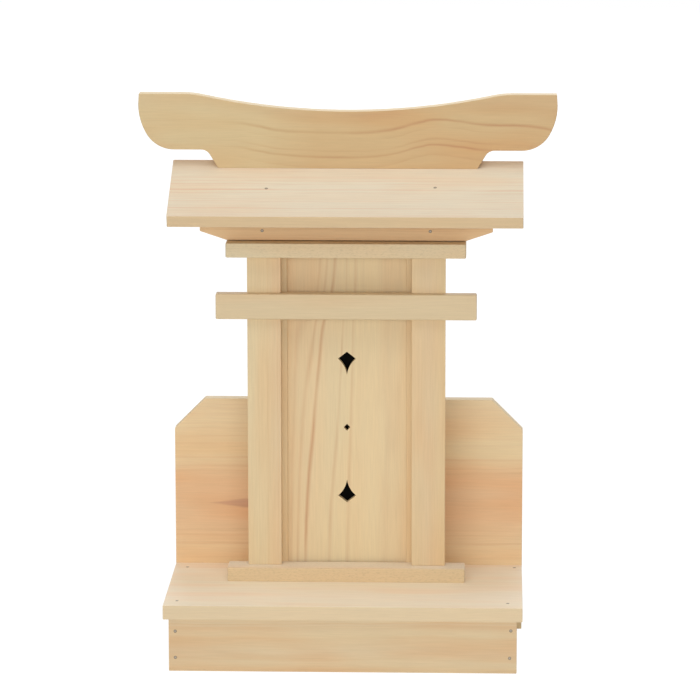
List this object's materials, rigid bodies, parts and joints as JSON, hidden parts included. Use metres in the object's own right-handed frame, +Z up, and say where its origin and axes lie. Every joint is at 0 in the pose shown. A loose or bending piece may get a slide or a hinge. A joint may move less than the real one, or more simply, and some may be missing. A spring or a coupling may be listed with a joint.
{
  "type": "kamidana household shrine",
  "caption": "Slim household shrine of planed cypress boards: base box, wide rear board, pillared front with a pierced panel, one sloping roof board and a curved ridge board.",
  "frame": {"origin": "on the floor under the middle of the whole shrine, half way across its width and its depth", "axes": "+Z up, +X to the viewer's right, front of the shrine towards -Y"},
  "size_m": [0.265, 0.121, 0.3503],
  "materials": {
    "pale_board": "planed, unfinished",
    "warm_board": "planed, unfinished",
    "shaded_board": "planed, unfinished"
  },
  "bodies": {
    "root": {"base_front_board": "warm_board", "base_left_board": "shaded_board", "base_right_board": "shaded_board", "base_top_board": "pale_board", "wide_rear_board": "warm_board", "sill_plate": "pale_board", "left_pillar": "pale_board", "right_pillar": "pale_board", "tie_beam": "pale_board", "left_stop_strip": "shaded_board", "right_stop_strip": "shaded_board", "front_panel": "warm_board", "left_side_wall": "shaded_board", "right_side_wall": "shaded_board", "house_back_board": "warm_board", "lintel_plate": "pale_board", "eave_board": "shaded_board", "roof_board": "pale_board", "ridge_board": "shaded_board"}
  },
  "joints": []
}
